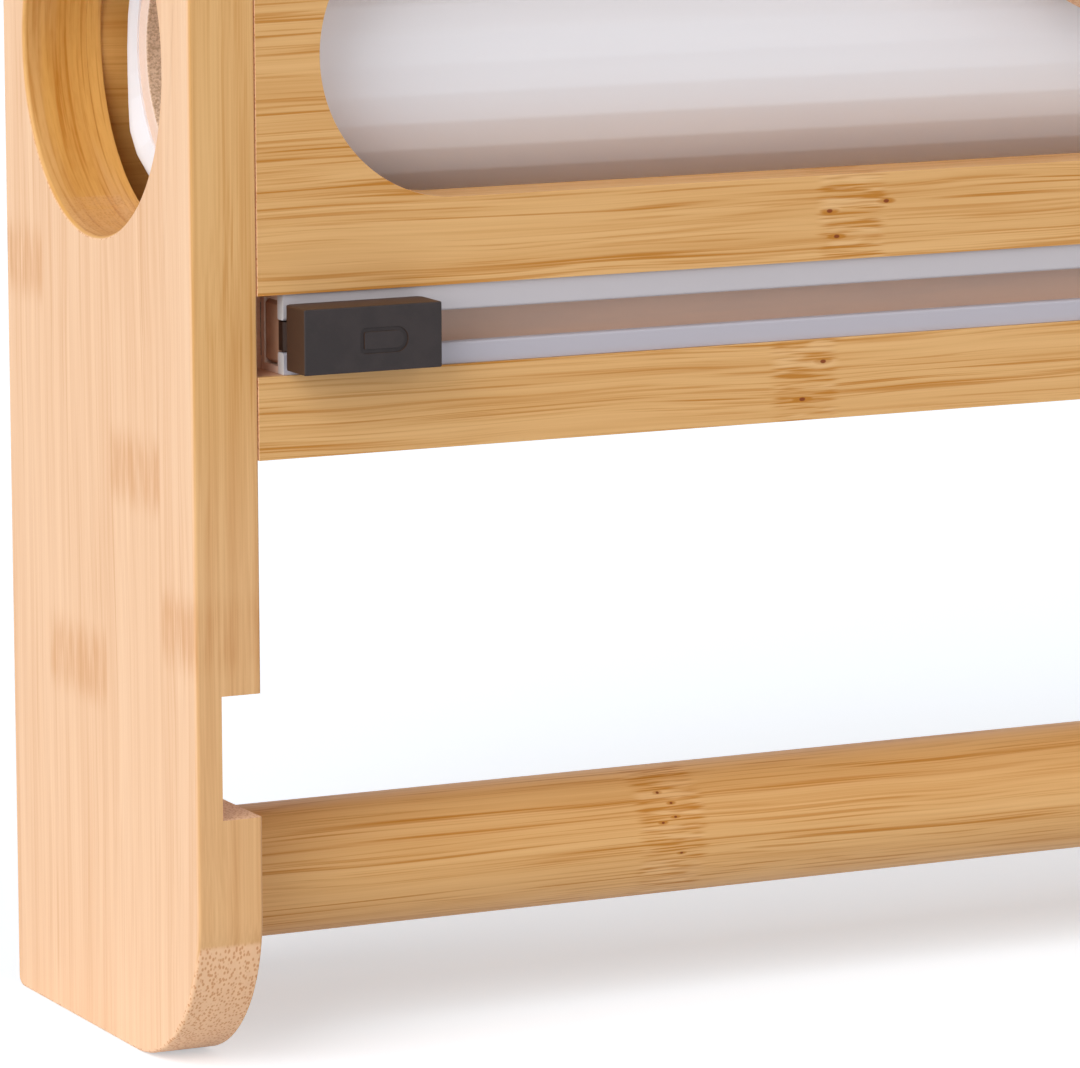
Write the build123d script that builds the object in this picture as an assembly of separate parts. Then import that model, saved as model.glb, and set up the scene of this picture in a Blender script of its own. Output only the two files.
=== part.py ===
from build123d import *
import os

# Cling film dispenser in laminated bamboo. Two side panels stand on rounded feet and carry a
# box for one roll of film, loaded through a round hole in either side. The film leaves by a
# long window and is cut by a small slider that runs in a rail below it. A loose bar between
# the feet carries a roll of kitchen paper, and drops into an L-shaped slot in each side.
#
# Millimetres. X runs to the right, Y to the back, Z up. The origin is the bottom centre of
# the whole object's box, so the feet stand on Z = 0.

# ---------------------------------------------------------------- driving dimensions
# Overall
width = 360.0              # over the two side panels
depth = 84.2               # front edge to back edge of a side panel
height = 225.8             # floor to the top of the sides and lid

# Side panels
side_t = 12.0
foot_r = 29.0              # round at the front of each foot
corner_r = 2.0             # the other three corners
side_bevel = 0.8           # on the outer edges and the mouth of the hole

# Box
front_t = 11.5
back_t = 9.0
liner_t = 2.9              # inner cheek glued to each side
floor_t = 12.0
box_h = 107.2              # height of the front and back panels
hole_wall = 0.55           # left between the loading hole and the chamber's front and back
hole_drop = 41.7           # from the top of the box down to the centre of the hole
edge_bevel = 0.5           # on the edges of the box boards and inside edges of the sides

# Window in the front panel
window_h = 49.7
window_edge = 14.8         # from the window to the top of the panel
window_margin = 11.85      # from the window's round end to the end of the panel

# Lid
lid_t = 12.0
lid_gap = 0.3              # under the lid
lid_side_gap = 0.5
lid_pin_d = 4.0
lid_pin_in_side = 8.0
lid_pin_in_lid = 9.5
pin_clearance = 0.05       # radial, between a pin and the lid's bore
bore_end_gap = 0.5         # past the end of a pin
tab_w = 49.0
tab_t = 6.0
tab_reach = 51.7           # from the top of the lid down to the tip of the tab
tab_corner_r = 4.0
tab_bevel = 1.2
tab_gap = 0.3              # between the tab and the front panel

# Wall screws, through the back panel
wall_screw_spacing = 260.0
wall_screw_drop = 27.5     # from the top of the panel down to the screws
wall_screw_d = 5.0
wall_screw_head_d = 10.0
wall_screw_sink = 2.5

# Dowels
dowel_d = 5.0
dowel_in_side = 8.0
dowel_in_board = 12.0
dowel_edge = 7.1           # from a panel's edge to the nearest dowel

# Cutter rail, a plastic C-profile taped into a groove
rail_edge = 14.15          # from the lower edge of the panel up to the rail
rail_h = 13.6
rail_depth = 9.4
rail_web_t = 1.2
rail_base_t = 1.3
rail_lip_t = 2.5
rail_lip_top = 4.4
rail_lip_bottom = 3.7
rail_lip_round = 0.5
rail_recess = 0.6          # behind the front face
rail_end_gap = 5.0         # from the end of the rail to the side panel
rail_tape_t = 0.3
rail_tape_w = 9.0
groove_gap = 0.05          # above and below the rail

# Cutter slider
block_l = 25.3
block_h = 11.15
slider_proud = 8.1         # in front of the front panel
film_gap = 0.35            # between the rail and the block, where the film passes
block_bevel = 0.3
film_mouth = 0.8           # slope that leads the film in, at each end of the block and rib
thumb_l = 8.8              # the shallow thumb mark in the block's face
thumb_h = 4.4
thumb_corner_r = 1.0       # at its square end
thumb_shift = 2.0          # to the right of the block's middle
thumb_drop = 0.3           # below the block's middle
thumb_sink = 0.3
neck_l = 9.0
shoe_inset = 0.2           # from the block's end to the shoe's
shoe_clearance = 0.3       # all round, inside the rail
peg_d = 4.0
peg_l = 4.0
blade_t = 0.5
blade_l = 17.0
blade_in_block = 3.6
blade_in_neck = 2.3
blade_tip_l = 3.0          # length of each slanted cutting edge

# Film roll
film_w = 325.0
roll_room = 4.2            # between the roll and the chamber's front and back, both together
core_d = 48.3
core_bore_d = 41.3
roll_floor_gap = 0.1
roll_front_gap = 0.3

# Bar for kitchen paper, and its slots
bar_d = 23.2
bar_z = 29.6
slot_h = 21.3              # width of the slot, all the way along
slot_depth = 7.25
slot_lip_top = 45.4        # top of the lip in front of the slot's upright part
tenon_clearance = 0.4      # radial, between a tenon and the slot
bar_end_gap = 0.5          # from the bar's shoulder to the side panel
tenon_chamfer = 0.8

# ---------------------------------------------------------------- places worked out from them
y_front = (slider_proud - depth) / 2
y_back = y_front + depth
x_side = width / 2 - side_t                  # inner faces of the side panels
x_liner = x_side - liner_t                   # inner faces of the liners
box_top = height - lid_t - lid_gap
box_bottom = box_top - box_h                 # lower edge of the front and back panels
y_chamber_front = y_front + front_t
y_chamber_back = y_back - back_t
chamber_depth = y_chamber_back - y_chamber_front
hole_d = chamber_depth - 2 * hole_wall
hole_y = (y_chamber_front + y_chamber_back) / 2
hole_z = box_top - hole_drop
floor_top = hole_z - hole_d / 2              # a roll slides in level with the floor

window_w = 2 * (x_side - window_margin)
window_z = box_top - window_edge - window_h / 2
wall_screw_z = box_top - wall_screw_drop

lid_pin_y = y_back - lid_t / 2
lid_pin_z = height - lid_t / 2
x_lid = x_side - lid_side_gap
y_lid_front = y_front - tab_gap

y_rail = y_front + rail_recess
rail_z = box_bottom + rail_edge              # underside of the rail
rail_l = 2 * (x_side - rail_end_gap)
groove_depth = rail_recess + rail_depth + rail_tape_t
slot_low = rail_z + rail_lip_bottom          # the rail's open slot
slot_high = rail_z + rail_h - rail_lip_top
cutter_z = (slot_low + slot_high) / 2
x_cutter = -rail_l / 2 + block_l / 2         # parked at the rail's left end
y_block_back = y_rail - film_gap
y_block_front = y_front - slider_proud
y_shoe = y_rail + rail_lip_t + shoe_clearance
shoe_depth = rail_depth - rail_lip_t - rail_base_t - 2 * shoe_clearance

film_d = chamber_depth - roll_room
roll_y = y_chamber_front + roll_front_gap + film_d / 2
roll_z = floor_top + roll_floor_gap + film_d / 2

bar_y = y_front + foot_r                     # on the centre of the foot's round
slot_turn_z = slot_lip_top + slot_h / 2
tenon_d = slot_h - 2 * tenon_clearance
tenon_l = slot_depth


# ---------------------------------------------------------------- helpers
def board(x0, x1, y0, y1, z0, z1):
    """A rectangular board between two corners."""
    middle = Pos((x0 + x1) / 2, (y0 + y1) / 2, (z0 + z1) / 2)
    return middle * Box(x1 - x0, y1 - y0, z1 - z0)


def rod(diameter, x0, x1, y, z):
    """A round rod along X."""
    return Pos((x0 + x1) / 2, y, z) * Rot(0, 90, 0) * Cylinder(diameter / 2, x1 - x0)


def bore_y(diameter, y0, y1, x, z):
    """A round hole along Y."""
    return Pos(x, (y0 + y1) / 2, z) * Rot(90, 0, 0) * Cylinder(diameter / 2, y1 - y0)


def mirrored(shape):
    """The same piece on the other side of the object."""
    return shape.mirror(Plane.YZ)


def dowel_places():
    """Y and Z of the dowels that hold one side panel to the boards of the box."""
    places = [(hole_y, floor_top - floor_t / 2)]
    for y in (y_front + front_t / 2, y_back - back_t / 2):
        places += [(y, box_bottom + dowel_edge), (y, box_top - dowel_edge)]
    return places


def right_dowel_rods():
    """The dowels of the right side, each half in the side and half in a board."""
    ends = (x_side - dowel_in_board, x_side + dowel_in_side)
    return [rod(dowel_d, ends[0], ends[1], y, z) for y, z in dowel_places()]


# ---------------------------------------------------------------- side panels and liners
def slot_profile():
    """The L-shaped slot, in from the front and down to the bar's seat, cut by one round tool."""
    reach = foot_r + slot_h
    entry = Pos(bar_y - reach / 2, slot_turn_z) * Rectangle(reach, slot_h)
    upright_h = slot_turn_z - bar_z
    upright = Pos(bar_y, bar_z + upright_h / 2) * Rectangle(slot_h, upright_h)
    turn = Pos(bar_y, slot_turn_z) * Circle(slot_h / 2)
    seat = Pos(bar_y, bar_z) * Circle(slot_h / 2)
    return entry + upright + turn + seat


def right_side_panel():
    """One side: a board with a rounded foot, the loading hole and the bar's slot."""
    outline = Pos(y_front + depth / 2, height / 2) * Rectangle(depth, height)
    front_foot = outline.vertices().sort_by(lambda v: v.X + v.Y)[0]
    outline = fillet(front_foot, foot_r)
    sharp = [v for v in outline.vertices() if v.Y > height - corner_r or v.X > y_back - corner_r]
    outline = fillet(sharp, corner_r)
    outline -= Pos(hole_y, hole_z) * Circle(hole_d / 2)
    panel = Pos(x_side, 0, 0) * extrude(Plane.YZ * outline, side_t)
    panel = chamfer(panel.faces().sort_by(Axis.X)[-1].edges(), side_bevel)
    panel = chamfer(panel.faces().sort_by(Axis.X)[0].outer_wire().edges(), edge_bevel)
    panel -= Pos(x_side, 0, 0) * extrude(Plane.YZ * slot_profile(), slot_depth)
    for dowel in right_dowel_rods():
        panel -= dowel
    panel -= rod(lid_pin_d, x_side - lid_side_gap, x_side + lid_pin_in_side, lid_pin_y, lid_pin_z)
    return panel


def right_liner():
    """The thin cheek that the side panel carries inside the box."""
    liner = board(x_liner, x_side, y_chamber_front, y_chamber_back, box_bottom, box_top)
    liner -= rod(hole_d, x_liner - side_t, x_side + side_t, hole_y, hole_z)
    for dowel in right_dowel_rods():
        liner -= dowel
    return liner


# ---------------------------------------------------------------- boards of the box
def front_panel():
    """The front board, with the film window and the groove for the cutter rail."""
    panel = board(-x_side, x_side, y_front, y_chamber_front, box_bottom, box_top)
    window = Pos(0, window_z) * SlotOverall(window_w, window_h)
    cutter = extrude(Plane.XZ.offset(-y_chamber_front) * window, front_t)
    panel -= cutter
    panel = chamfer(panel.faces().sort_by(Axis.Y)[0].edges(), edge_bevel)
    z_groove = rail_z - groove_gap
    groove_h = rail_h + 2 * groove_gap
    panel -= board(-x_side, x_side, y_front, y_front + groove_depth, z_groove, z_groove + groove_h)
    for dowel in right_dowel_rods():
        panel -= dowel
        panel -= mirrored(dowel)
    return panel


def back_panel():
    """The back board, with two countersunk holes for the wall screws."""
    panel = board(-x_side, x_side, y_chamber_back, y_back, box_bottom, box_top)
    head_r = wall_screw_head_d / 2
    for x in (-wall_screw_spacing / 2, wall_screw_spacing / 2):
        panel -= bore_y(wall_screw_d, y_chamber_back, y_back, x, wall_screw_z)
        sink = Cone(wall_screw_d / 2, head_r, wall_screw_sink)
        panel -= Pos(x, y_chamber_back + wall_screw_sink / 2, wall_screw_z) * Rot(90, 0, 0) * sink
    for dowel in right_dowel_rods():
        panel -= dowel
        panel -= mirrored(dowel)
    return panel


def floor_board():
    """The board under the roll."""
    z_low = floor_top - floor_t
    shelf = board(-x_liner, x_liner, y_chamber_front, y_chamber_back, z_low, floor_top)
    for dowel in right_dowel_rods():
        shelf -= dowel
        shelf -= mirrored(dowel)
    return shelf


# ---------------------------------------------------------------- lid
def lid():
    """The lid, half-round along its back edge so that it turns clear of the back panel."""
    pin_r = lid_t / 2
    flat = Pos((y_lid_front + lid_pin_y) / 2, lid_pin_z) * Rectangle(lid_pin_y - y_lid_front, lid_t)
    section = flat + Pos(lid_pin_y, lid_pin_z) * Circle(pin_r)
    panel = Pos(-x_lid, 0, 0) * extrude(Plane.YZ * section, 2 * x_lid)
    front_edges = panel.faces().sort_by(Axis.Y)[0].edges().filter_by(Axis.X)
    panel = chamfer(front_edges, edge_bevel)
    bore_d = lid_pin_d + 2 * pin_clearance
    bore_l = lid_pin_in_lid + bore_end_gap
    bore = rod(bore_d, x_lid - bore_l, x_lid, lid_pin_y, lid_pin_z)
    return panel - bore - mirrored(bore)


def lid_tab():
    """The finger tab on the lid's front edge, hanging over the top of the window."""
    tip_r = tab_w / 2
    straight = tab_reach - tip_r
    body = Pos(0, height - straight / 2) * Rectangle(tab_w, straight)
    body = fillet(body.vertices().sort_by(Axis.Y)[-2:], tab_corner_r)
    outline = body + Pos(0, height - straight) * Circle(tip_r)
    tab = extrude(Plane.XZ.offset(-y_lid_front) * outline, tab_t)
    return chamfer(tab.faces().sort_by(Axis.Y)[0].edges(), tab_bevel)


def lid_pins():
    """Two steel pins, one in each side panel, that the lid turns on."""
    x_end = x_side + lid_pin_in_side
    pin = rod(lid_pin_d, x_lid - lid_pin_in_lid, x_end, lid_pin_y, lid_pin_z)
    return Compound([mirrored(pin), pin])


# ---------------------------------------------------------------- slide cutter
def cutter_rail():
    """The C-profile that the slider runs in."""
    y_end = y_rail + rail_depth
    z_top = rail_z + rail_h
    outer = board(-rail_l / 2, rail_l / 2, y_rail, y_end, rail_z, z_top)
    y_inner = (y_rail + rail_lip_t, y_end - rail_base_t)
    cavity = board(-rail_l / 2, rail_l / 2, *y_inner, rail_z + rail_web_t, z_top - rail_web_t)
    slot = board(-rail_l / 2, rail_l / 2, y_rail, y_inner[0], slot_low, slot_high)
    rail = outer - cavity - slot
    lips = [e for e in rail.edges().filter_by(Axis.X) if on_lip(e.center())]
    return fillet(lips, rail_lip_round)


def on_lip(point):
    """Whether a point lies on the free edge of one of the rail's lips."""
    at_slot = min(abs(point.Z - slot_low), abs(point.Z - slot_high)) < rail_lip_round
    return at_slot and point.Y < y_rail + rail_lip_t + rail_lip_round


def rail_tape():
    """The strip of double-sided tape behind the rail."""
    y_tape = y_rail + rail_depth
    z_middle = rail_z + rail_h / 2
    z_tape = (z_middle - rail_tape_w / 2, z_middle + rail_tape_w / 2)
    return board(-rail_l / 2, rail_l / 2, y_tape, y_tape + rail_tape_t, *z_tape)


def blade():
    """The double-ended blade, flat in the horizontal plane, with a slanted edge at each end."""
    y0 = y_block_back - blade_in_block
    y1 = y_rail + blade_in_neck
    half = blade_l / 2
    tip = half - blade_tip_l
    outline = make_face(Polyline((-tip, y0), (tip, y0), (half, y1), (-half, y1), close=True))
    plate = extrude(outline, blade_t / 2, both=True)
    return Pos(x_cutter, 0, cutter_z) * plate


def cutter_shoe():
    """The T-shaped shoe. Its rib fills the rail's slot and bears the film from behind, and a neck
    and a peg join it to the block in front of the film."""
    z_in_rail = (rail_z + rail_web_t + shoe_clearance, rail_z + rail_h - rail_web_t - shoe_clearance)
    z_in_slot = (slot_low + shoe_clearance, slot_high - shoe_clearance)
    half = block_l / 2 - shoe_inset
    ends = (x_cutter - half, x_cutter + half)
    shoe = board(*ends, y_shoe, y_shoe + shoe_depth, *z_in_rail)
    shoe = chamfer(shoe.edges().filter_by(Axis.Y), shoe_clearance * 2)
    rib = board(*ends, y_rail, y_shoe, *z_in_slot)
    rib = chamfer(rib.faces().sort_by(Axis.Y)[0].edges().filter_by(Axis.Z), film_mouth)
    neck = board(x_cutter - neck_l / 2, x_cutter + neck_l / 2, y_block_back, y_rail, *z_in_slot)
    peg = bore_y(peg_d, y_block_back - peg_l, y_block_back, x_cutter, cutter_z)
    return shoe + rib + neck + peg - blade()


def thumb_mark():
    """The outline of the mark in the block's face, square at the left and round at the right."""
    left = x_cutter + thumb_shift - thumb_l / 2
    z_mark = cutter_z - thumb_drop
    straight = thumb_l - thumb_h / 2
    outline = Pos(left + straight / 2, z_mark) * Rectangle(straight, thumb_h)
    outline = fillet(outline.vertices().sort_by(Axis.X)[:2], thumb_corner_r)
    return outline + Pos(left + straight, z_mark) * Circle(thumb_h / 2)


def cutter_block():
    """The block that the thumb pushes. The film runs in behind its ends to reach the blade."""
    ends = (x_cutter - block_l / 2, x_cutter + block_l / 2)
    z_block = (cutter_z - block_h / 2, cutter_z + block_h / 2)
    block = board(*ends, y_block_front, y_block_back, *z_block)
    block = chamfer(block.faces().sort_by(Axis.Y)[0].edges(), block_bevel)
    block = chamfer(block.faces().sort_by(Axis.Y)[-1].edges().filter_by(Axis.Z), film_mouth)
    face_in = Plane.XZ.offset(-y_block_front - thumb_sink)
    block -= extrude(face_in * thumb_mark(), thumb_sink + block_bevel)
    block -= bore_y(peg_d, y_block_back - peg_l, y_block_back, x_cutter, cutter_z)
    return block - blade()


# ---------------------------------------------------------------- film roll and paper bar
def tube(outer_d, inner_d, length, y, z):
    """A round tube along X, centred on the object."""
    outer = rod(outer_d, -length / 2, length / 2, y, z)
    return outer - rod(inner_d, -length / 2, length / 2, y, z)


def paper_bar():
    """The loose bar, turned down to a tenon at each end."""
    x_shoulder = x_side - bar_end_gap
    x_tip = x_shoulder + tenon_l
    bar = rod(bar_d, -x_shoulder, x_shoulder, bar_y, bar_z)
    tenons = rod(tenon_d, -x_tip, x_tip, bar_y, bar_z)
    tips = [face.edges() for face in tenons.faces().filter_by(GeomType.PLANE)]
    tenons = chamfer([edge for edges in tips for edge in edges], tenon_chamfer)
    return bar + tenons


# ---------------------------------------------------------------- pieces
right_side = right_side_panel()
liner_right = right_liner()
dowels_right = Compound(right_dowel_rods())

pieces = {
    "left_side_panel": mirrored(right_side),
    "right_side_panel": right_side,
    "left_liner": mirrored(liner_right),
    "right_liner": liner_right,
    "front_panel": front_panel(),
    "back_panel": back_panel(),
    "floor_board": floor_board(),
    "left_dowels": mirrored(dowels_right),
    "right_dowels": dowels_right,
    "lid": lid(),
    "lid_tab": lid_tab(),
    "lid_pins": lid_pins(),
    "cutter_rail": cutter_rail(),
    "rail_tape": rail_tape(),
    "cutter_block": cutter_block(),
    "cutter_shoe": cutter_shoe(),
    "cutter_blade": blade(),
    "film_roll": tube(film_d, core_d, film_w, roll_y, roll_z),
    "film_core": tube(core_d, core_bore_d, film_w, roll_y, roll_z),
    "paper_bar": paper_bar(),
}

os.makedirs("parts", exist_ok=True)
for name, shape in pieces.items():
    export_step(shape, f"parts/{name}.step")
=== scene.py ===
from contextlib import contextmanager
from functools import reduce
from math import atan2, exp, hypot, pi, radians, sin

import bmesh
import bpy
from bpy.props import FloatProperty, FloatVectorProperty, IntProperty, PointerProperty
from bpy.types import Operator, Panel, PropertyGroup
from mathutils import Matrix, Vector


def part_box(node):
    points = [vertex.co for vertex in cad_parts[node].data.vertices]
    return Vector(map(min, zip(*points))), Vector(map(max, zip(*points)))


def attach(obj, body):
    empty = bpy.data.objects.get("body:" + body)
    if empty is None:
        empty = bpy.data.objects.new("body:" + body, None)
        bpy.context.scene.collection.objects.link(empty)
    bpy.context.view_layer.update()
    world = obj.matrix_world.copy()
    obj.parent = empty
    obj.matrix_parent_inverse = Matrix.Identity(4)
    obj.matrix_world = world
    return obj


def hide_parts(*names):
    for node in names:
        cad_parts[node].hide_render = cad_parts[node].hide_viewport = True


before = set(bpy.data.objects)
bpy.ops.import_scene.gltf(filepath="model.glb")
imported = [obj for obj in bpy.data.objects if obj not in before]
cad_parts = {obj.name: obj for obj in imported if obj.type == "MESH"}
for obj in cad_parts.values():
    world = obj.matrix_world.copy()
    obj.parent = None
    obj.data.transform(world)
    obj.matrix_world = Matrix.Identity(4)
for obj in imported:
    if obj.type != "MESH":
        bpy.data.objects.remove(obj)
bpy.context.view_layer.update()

bl_info = {
    "name": "Cling film dispenser",
    "version": (1, 0, 0),
    "blender": (4, 5, 0),
    "location": "3D View > Sidebar > Dispenser",
    "description": "Bamboo stand for a roll of cling film and a roll of kitchen paper",
    "category": "Object",
}

# Everything is in metres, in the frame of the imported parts: X right, Y back, Z up.
MM = 0.001
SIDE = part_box("left_side_panel")
Y_FRONT = SIDE[0][1]
Y_BACK = SIDE[1][1]
HEIGHT = SIDE[1][2]
X_OUTER = -SIDE[0][0]
X_SIDE = -SIDE[1][0]

TOUCH = 0.01 * MM       # two places closer than this are the same
HALF_ROUND = 0.49999    # share of a thickness that a bevel takes on each side to round it off
HOLE_SIDES = 144        # sides of the rods that cut the loading holes
LIP_DEPTH = 2.5         # thickness of the rail's lips, in millimetres
FLOOR_DROP = 0.02 * MM  # from the object's feet down to the floor


# ------------------------------------------------------------------ sizes and colours
def length(name, description, millimetres):
    """A length, given in millimetres."""
    return FloatProperty(name=name, description=description, default=millimetres * MM, min=0.0,
                         subtype="DISTANCE", unit="LENGTH")


def colour(name, description, default):
    """A colour in linear red, green and blue."""
    return FloatVectorProperty(name=name, description=description, default=default, size=3,
                               min=0.0, max=1.0, subtype="COLOR")


def rotation(name, description, degrees):
    """An angle, given in degrees."""
    return FloatProperty(name=name, description=description, default=radians(degrees),
                         subtype="ANGLE", unit="ROTATION")


def brightness(name, description, default):
    """The strength of a light."""
    return FloatProperty(name=name, description=description, default=default, min=0.0)


class CaseSizes(PropertyGroup):
    """Sizes of the bamboo boards that the frame's boxes don't give."""

    foot_radius: length("Foot radius", "Round at the front of each foot", 29)
    corner_radius: length("Corner radius", "The side panels' other corners", 2)
    outer_round: length("Outer edge", "Softened edges on the outside of the side panels", 0.9)
    inner_round: length("Inner edge", "Softened edges of the boards of the box", 0.5)
    fine_round: length("Fine edge", "Edges left nearly sharp by the cutter", 0.2)
    hole_radius: length("Loading hole radius", "Half the width of the loading hole", 31.3)
    hole_height: length("Loading hole height", "From the floor to the hole's centre", 171.8)
    slot_width: length("Bar slot width", "Width of the L-shaped slot for the bar", 21.3)
    slot_depth: length("Bar slot depth", "Depth of the slot in each side panel", 7.25)
    slot_lip: length("Bar slot lip", "From the floor to the lip in front of the bar", 45.4)
    window_bottom: length("Window bottom", "From the floor to the film window", 149.0)
    window_height: length("Window height", "Height of the film window", 49.7)
    window_margin: length("Window margin", "From the window to the panel's end", 11.85)
    groove_gap: length("Groove gap", "Room above and below the cutter rail", 0.05)
    seam_gap: length("Seam", "Dark line between a board's end and the side panel", 0.09)
    screw_spacing: length("Wall screw spacing", "Between the two wall screws", 260)
    screw_height: length("Wall screw height", "From the floor to the wall screws", 186)
    screw_radius: length("Wall screw hole radius", "Half the width of a screw hole", 2.5)
    screw_head_radius: length("Countersink radius", "Half the width of a countersink", 5)
    screw_sink: length("Countersink depth", "Depth of a countersink", 2.5)
    pin_bore_radius: length("Lid bore radius", "Half the width of the lid's bores", 2.05)
    pin_bore_depth: length("Lid bore depth", "Depth of the lid's bores", 10)
    tab_corner: length("Tab corner", "Round at the top of the finger tab", 4)
    tab_round: length("Tab edge", "Softened edge of the finger tab", 1.2)
    bar_end_round: length("Bar end edge", "Softened ends of the bar", 0.8)
    tenon_room: length("Tenon room", "Between a tenon of the bar and the slot", 0.4)


class CutterSizes(PropertyGroup):
    """Sizes of the sliding cutter block."""

    edge: length("Block edge", "Softened edges of the block", 0.3)
    mouth: length("Film mouth", "Slope that leads the film in behind the block's ends", 0.8)
    mark_shift: length("Thumb mark shift", "From the block's middle to the mark's", 2.0)
    mark_drop: length("Thumb mark drop", "From the block's middle down to the mark's", 0.3)
    mark_width: length("Thumb mark width", "Width of the mark for the thumb", 8.8)
    mark_height: length("Thumb mark height", "Height of the mark for the thumb", 4.4)
    mark_rim: length("Thumb mark rim", "Width of the groove round the mark", 0.75)
    mark_depth: length("Thumb mark depth", "Depth of the groove round the mark", 0.3)
    mark_corner: length("Thumb mark corner", "Round of the mark's square end", 1.0)
    peg_radius: length("Peg radius", "Half the width of the hole for the shoe's peg", 2)
    peg_depth: length("Peg depth", "Depth of the hole for the shoe's peg", 4)


class FilmSizes(PropertyGroup):
    """Sizes of the roll of film."""

    flats: IntProperty(name="Flats", description="Flat facets that the film lies in", default=36,
                       min=12, max=96)
    flat_round: length("Flat edge", "Soft turn between two flats", 0.45)
    rim: length("Rim", "Soft outer edge of the wound film", 1.2)
    slack: length("Slack", "How far the film stands in from its full width", 0.45)
    swell: length("Swell", "How far the film bulges out low at the back", 1.4)
    swell_at: rotation("Swell at", "Where the film bulges, up from the back", -35)
    swell_span: rotation("Swell span", "How far round the film bulges", 15)
    crown: length("Crown", "How far the film's ends stand out of their outer edge", 0.9)
    core_radius: length("Core radius", "Outside of the cardboard core", 24.15)
    core_bore: length("Core bore", "Inside of the cardboard core", 20.65)
    core_recess: length("Core recess", "From the film's edge in to the core's end", 0.7)
    core_edge: length("Core edge", "Softened edges of the core", 0.4)


class Finishes(PropertyGroup):
    """Base colours of the materials."""

    # Painted light: the two face colours are a paler copy of the wood for the side panels' broad
    # faces, partly their own grain and partly the brightness of the light on them.
    face_light: colour("Face, light", "Pale fibres on the side panels' faces", (0.94, 0.62, 0.388))
    face_dark_and_painted_light: colour("Face, dark", "Dark fibres on the side panels' faces", (0.72, 0.37, 0.164))
    board_light: colour("Boards, light", "Pale fibres on boards and edges", (0.81, 0.48, 0.198))
    board_dark: colour("Boards, dark", "Dark fibres on boards and edges", (0.51, 0.195, 0.018))
    node_pale: colour("Node, pale", "Smooth skin at a node", (0.88, 0.58, 0.31))
    wood_knot: colour("Node, dots", "Dark dots at a node", (0.21, 0.035, 0.0))
    bore_light: colour("Hole, light", "Pale fibres in the loading hole", (0.81, 0.44, 0.115))
    bore_dark: colour("Hole, dark", "Dark fibres in the loading hole", (0.52, 0.19, 0.016))
    end_light: colour("End grain, light", "Ground between the fibre bundles", (0.97, 0.63, 0.40))
    end_dark: colour("End grain, dark", "Fibre bundles cut across", (0.56, 0.18, 0.035))
    # Painted shade: a flat mauve-brown that stands in for the groove's walls in shade.
    groove: colour("Groove", "Smooth walls of the rail's groove", (0.70, 0.385, 0.27))
    film: colour("Film", "Wound cling film", (0.90, 0.88, 0.91))
    film_shade: colour("Film, shaded", "Slacker places in the film", (0.82, 0.78, 0.81))
    film_end: colour("Film end", "The film's cut edges", (0.86, 0.89, 0.96))
    card: colour("Card", "Cardboard core", (0.90, 0.68, 0.50))
    card_speck: colour("Card specks", "Fibres in the cardboard", (0.60, 0.40, 0.25))
    card_end: colour("Card end", "Cut ends of the core", (0.88, 0.70, 0.60))
    rail: colour("Rail", "Upper lip of the plastic rail", (0.55, 0.51, 0.53))
    # Painted shade: the lower lip is a darker, bluer copy of the upper lip's plastic.
    rail_low: colour("Rail, lower", "Lower lip of the plastic rail", (0.49, 0.46, 0.51))
    # Painted light: the lips' end faces are paler, as the light from the left falls on them.
    rail_end: colour("Rail end", "Cut ends of the rail's lips", (0.70, 0.69, 0.69))
    # The base's brown is the wood behind the clear plastic; its brightness is painted light that
    # lifts it out of the shade deep in the rail.
    rail_base: colour("Rail base", "Clear base of the rail over the wood", (0.86, 0.635, 0.51))
    rail_haze: colour("Rail, hazy", "Hazy places in the plastic rail", (0.50, 0.46, 0.48))
    block: colour("Block", "Cutter block", (0.020, 0.0135, 0.0135))
    # Painted reflection: the brown of the wood on the block's sides.
    block_side: colour("Block sides", "Brown cast on the block's sides", (0.052, 0.023, 0.011))
    block_worn: colour("Block, worn", "Paler places on the cutter block", (0.043, 0.030, 0.029))
    # The shoe's brown is partly its plastic and partly painted light reflected from the wood inside
    # the rail.
    shoe: colour("Shoe", "The shoe's end inside the rail", (0.56, 0.32, 0.205))
    shoe_worn: colour("Shoe, worn", "Darker places on the shoe", (0.34, 0.18, 0.11))
    shoe_rib: colour("Shoe rib", "The rib between the rail lips", (0.030, 0.012, 0.006))
    steel: colour("Steel", "Blade and lid pins", (0.62, 0.62, 0.64))
    steel_line: colour("Steel, lines", "Grinding lines in the steel", (0.4, 0.4, 0.42))
    tape: colour("Tape", "Double-sided tape behind the rail", (0.30, 0.29, 0.28))
    tape_cell: colour("Tape, cells", "Cells in the foam tape", (0.16, 0.155, 0.15))


class StageSettings(PropertyGroup):
    """Camera, light and floor."""

    lens: FloatProperty(name="Lens", description="Focal length", default=220.48,
                        subtype="DISTANCE_CAMERA")
    azimuth: rotation("Azimuth", "Camera's turn from straight ahead", 25.821)
    elevation: rotation("Elevation", "Camera's tilt downwards", 9.346)
    roll: rotation("Roll", "Camera's roll", -0.204)
    place: FloatVectorProperty(name="Place", description="Where the camera stands", size=3,
                               default=(-0.60314, -1.04549, 0.27421), subtype="TRANSLATION",
                               unit="LENGTH")
    key: brightness("Key light", "Strength of the light from the left", 2.3)
    fill: brightness("Fill light", "Strength of the light from the front", 0.95)
    ambient: brightness("Ambient", "Strength of the light all round", 0.216)
    floor_size: length("Floor size", "Width of the floor", 12000)


GROUPS = {"case": CaseSizes, "cutter": CutterSizes, "film": FilmSizes, "finishes": Finishes,
          "stage": StageSettings}


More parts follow.
